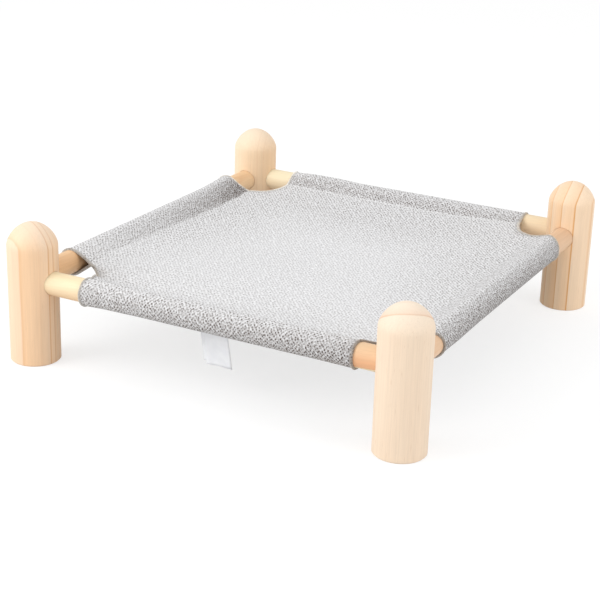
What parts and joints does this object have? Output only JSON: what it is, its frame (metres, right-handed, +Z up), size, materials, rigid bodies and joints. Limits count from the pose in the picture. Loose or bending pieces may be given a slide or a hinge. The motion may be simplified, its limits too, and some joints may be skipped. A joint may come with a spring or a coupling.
{
  "type": "elevated pet bed",
  "caption": "Low pet bed: a square cloth sling with sleeved edges, stretched on round wooden rails between domed wooden posts.",
  "frame": {"origin": "on the floor, at the middle of the bed", "axes": "+Z up, +X to the right along the front rail, +Y from the front to the back"},
  "size_m": [0.45, 0.486, 0.142],
  "materials": {
    "pine": "bare sanded softwood, satin",
    "melange_cloth": "matte woven melange",
    "grey_thread": "matte sewing thread",
    "white_satin": "blank satin ribbon"
  },
  "bodies": {
    "root": {"post_front_left": "pine", "post_front_right": "pine", "post_back_left": "pine", "post_back_right": "pine", "rail_front": "pine", "rail_back": "pine", "rail_left": "pine", "rail_right": "pine", "sling_panel": "melange_cloth", "sleeve_front": "melange_cloth", "sleeve_back": "melange_cloth", "sleeve_left": "melange_cloth", "sleeve_right": "melange_cloth", "seam_front": "grey_thread", "seam_back": "grey_thread", "seam_left": "grey_thread", "seam_right": "grey_thread", "overlock_front_left": "grey_thread", "overlock_front_right": "grey_thread", "overlock_back_left": "grey_thread", "overlock_back_right": "grey_thread", "care_label": "white_satin", "care_label_back_leaf": "white_satin"}
  },
  "joints": []
}
